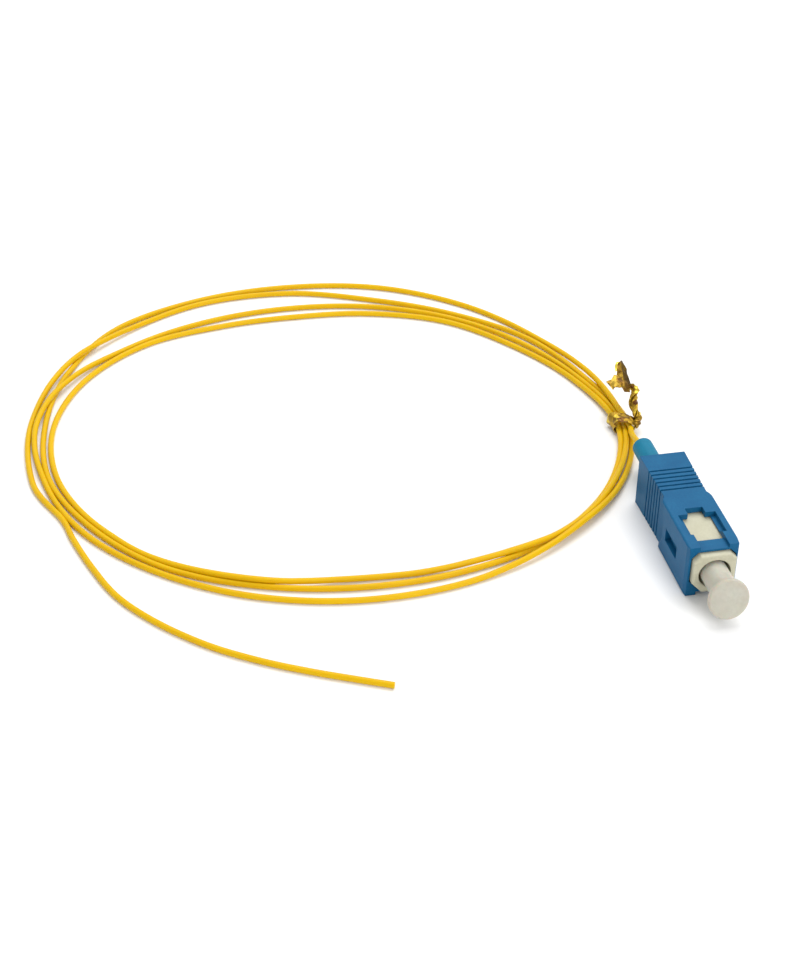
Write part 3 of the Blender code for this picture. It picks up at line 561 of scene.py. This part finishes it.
# Gold foil: facets from brown to gold, each a painted reflection of the room. The round strands are
# paler, partly their own olive tone and partly painted light; beyond the fold one side is painted shade
# in dull brown, and the foil's rim carries a painted yellow highlight.
gold_foil = foil_with_painted_facets("gold_foil", "#5A3A06", "#7E5A10", "#8E6C18", "#9C7A20", "#B49430")
olive_painted_light_foil = foil_with_painted_facets("gold_foil_painted_light", "#5E3408", "#8C6C14", "#A88620", "#C09A2C",
                           "#DEC444")
shaded_foil = foil_with_painted_facets("gold_foil_painted_shade", "#3E2A04", "#57400A", "#7A5C10")
painted_highlight_foil = foil_with_painted_facets("gold_foil_painted_highlight", "#D8BE2E", "#F2E060")

# The collar: a loose flat ring round the bundle's strands where they pass the tie. It slants, and is
# a little wider on the side of the coil's middle.
outward = Vector((math.cos(math.radians(TIE_ANGLE)), math.sin(math.radians(TIE_ANGLE)), 0))
along = Vector((-outward.y, outward.x, 0))
COLLAR_RADIUS = 47.15 * MM
bundle = Vector((*COIL_CENTRE, 0)) + outward * COLLAR_RADIUS
COLLAR_HALF = 1.80 * MM
COLLAR_TOP = 2.35 * MM
COLLAR_W = (2.25 * MM, 2.45 * MM)
COLLAR_SLANT = 0.55 * MM
COLLAR_FORWARD = 0.4 * MM
COLLAR_UNDER = 0.12 * MM
COLLAR_POINTS = 48
COLLAR_T = 0.20 * MM
COLLAR_CRUMPLE = 0.16 * MM
ring_centres, ring_widths, ring_sides = [], [], []
for k in range(COLLAR_POINTS + 1):
    turn = 2 * math.pi * k / COLLAR_POINTS
    square = 1 / (abs(math.cos(turn)) ** 3 + abs(math.sin(turn)) ** 3) ** (1 / 3)
    across = COLLAR_HALF * math.cos(turn) * square
    up = COLLAR_TOP / 2 * (1 + math.sin(turn) * square) + COLLAR_UNDER
    ring_centres.append(bundle + outward * across + Vector((0, 0, up))
                        - along * (COLLAR_FORWARD + COLLAR_SLANT * math.cos(turn)))
    inner = max(0.0, -math.cos(turn))
    ring_widths.append(COLLAR_W[0] + (COLLAR_W[1] - COLLAR_W[0]) * inner ** 1.5)
    ring_sides.append(along + outward * (0.15 - 0.65 * inner))
collar = ribbon("tie_collar", ring_centres, ring_widths, ring_sides, COLLAR_T, COLLAR_CRUMPLE, seed=3)

# The twist: two strips wound round each other, from the collar's outer side up to where they splay
STEM = ((1.60, 28.78, 1.50), (2.31, 29.14, 1.90), (2.40, 29.76, 2.50), (2.24, 30.60, 3.00),
        (2.15, 31.26, 3.60), (2.29, 31.88, 4.20), (2.54, 32.41, 4.70), (2.80, 32.94, 5.20),
        (2.64, 33.45, 5.50), (2.20, 33.60, 5.62))
TWIST_TURNS = 1.6
TWIST_R = 0.33 * MM
STRIP_W = 1.02 * MM
STRIP_T = 0.60 * MM
STRIP_CRUMPLE = 0.06 * MM
# The turn, in radians, from a strip's place in the twist to the direction of its width
STRIP_LEAN = 1.2
STEM_SAMPLE = 0.14 * MM
stem_path = smooth_curve([Vector(p) * MM for p in STEM], STEM_SAMPLE)
tie_pieces = [collar]
for strand in (0, 1):
    centres, sides = [], []
    for k, spot in enumerate(stem_path):
        ahead = stem_path[min(k + 1, len(stem_path) - 1)] - stem_path[max(k - 1, 0)]
        first = ahead.cross(Vector((0, 0.3, 1))).normalized()
        second = ahead.cross(first).normalized()
        turn = 2 * math.pi * TWIST_TURNS * k / (len(stem_path) - 1) + math.pi * strand
        centres.append(spot + (first * math.cos(turn) + second * math.sin(turn)) * TWIST_R)
        sides.append(first * math.cos(turn + STRIP_LEAN) + second * math.sin(turn + STRIP_LEAN))
    tie_pieces.append(ribbon(f"tie_strand_{strand + 1}", centres, [STRIP_W] * len(centres), sides,
                             STRIP_T, STRIP_CRUMPLE, seed=7 + strand * 5))

# The splayed ends: a pointed one with a fold down its middle, painted shade beyond the fold, and a ragged
# one.
# A third piece of the strip lies against the bundle and runs to the foot of the twist, in painted shade.
POINTED_RIM = ((0.62, 36.70, 6.60), (0.75, 37.60, 7.10), (1.20, 38.20, 7.45))
POINTED_LEFT = ((0.11, 34.90, 5.80), (0.55, 35.80, 6.25), (0.90, 36.80, 6.75), (1.25, 37.80, 7.30),
                (1.70, 38.15, 7.50))
POINTED_FOLD = ((1.20, 34.10, 5.95), (1.50, 35.50, 6.50), (1.60, 36.70, 7.05), (1.78, 37.90, 7.60),
                (1.95, 38.30, 7.60))
POINTED_RIGHT = ((2.45, 34.40, 5.60), (2.52, 35.80, 6.05), (2.50, 37.00, 6.45), (2.42, 38.10, 6.95),
                 (2.20, 38.45, 7.20))
RAGGED_TOP = ((2.40, 34.60, 5.65), (1.43, 35.00, 6.20), (0.81, 35.45, 6.40), (0.18, 35.95, 6.65),
              (-0.59, 34.90, 6.50), (-1.57, 34.40, 6.50))
RAGGED_MIDDLE = ((2.15, 33.70, 5.70), (1.20, 33.75, 6.10), (0.80, 34.40, 6.20), (0.00, 34.60, 6.35),
                 (-0.75, 33.90, 6.30), (-1.50, 34.20, 6.40))
RAGGED_FOOT = ((1.95, 32.65, 5.20), (0.80, 32.40, 5.55), (0.71, 33.40, 5.80), (-0.36, 33.40, 5.90),
               (-0.89, 32.75, 5.85), (-1.35, 33.95, 6.15))
STRIP_REAR = ((0.75, 31.80, 2.05), (1.20, 30.90, 2.15), (1.70, 30.00, 1.95), (2.10, 29.20, 1.60))
STRIP_FRONT = ((1.05, 31.90, 1.65), (1.50, 31.00, 1.75), (1.95, 30.10, 1.60), (2.30, 29.40, 1.40))
tie_pieces += [
    # The strip's end is all painted shade
    foil_sheet("tie_strip_end", (STRIP_REAR, STRIP_FRONT), 11, [shaded_foil]),
    # The pointed end's rim: a thin sheet with a painted highlight
    foil_sheet("tie_point_rim_painted_highlight", (POINTED_RIM, POINTED_LEFT[2:]), 2, [painted_highlight_foil]),
    # Beyond the fold, the pointed end's far side is painted shade
    foil_sheet("tie_point", (POINTED_LEFT, POINTED_FOLD, POINTED_RIGHT), 5, [gold_foil, shaded_foil]),
    foil_sheet("tie_ragged_end", (RAGGED_TOP, RAGGED_MIDDLE, RAGGED_FOOT), 9, [gold_foil, gold_foil]),
]

bpy.ops.object.select_all(action="DESELECT")
for piece in tie_pieces:
    piece.select_set(True)
bpy.context.view_layer.objects.active = collar
bpy.ops.object.join()
collar.name = "foil_tie"
collar.data.shade_smooth()
collar.data.set_sharp_from_angle(angle=math.radians(40))
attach(collar, "plug")
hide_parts("twist_tie")
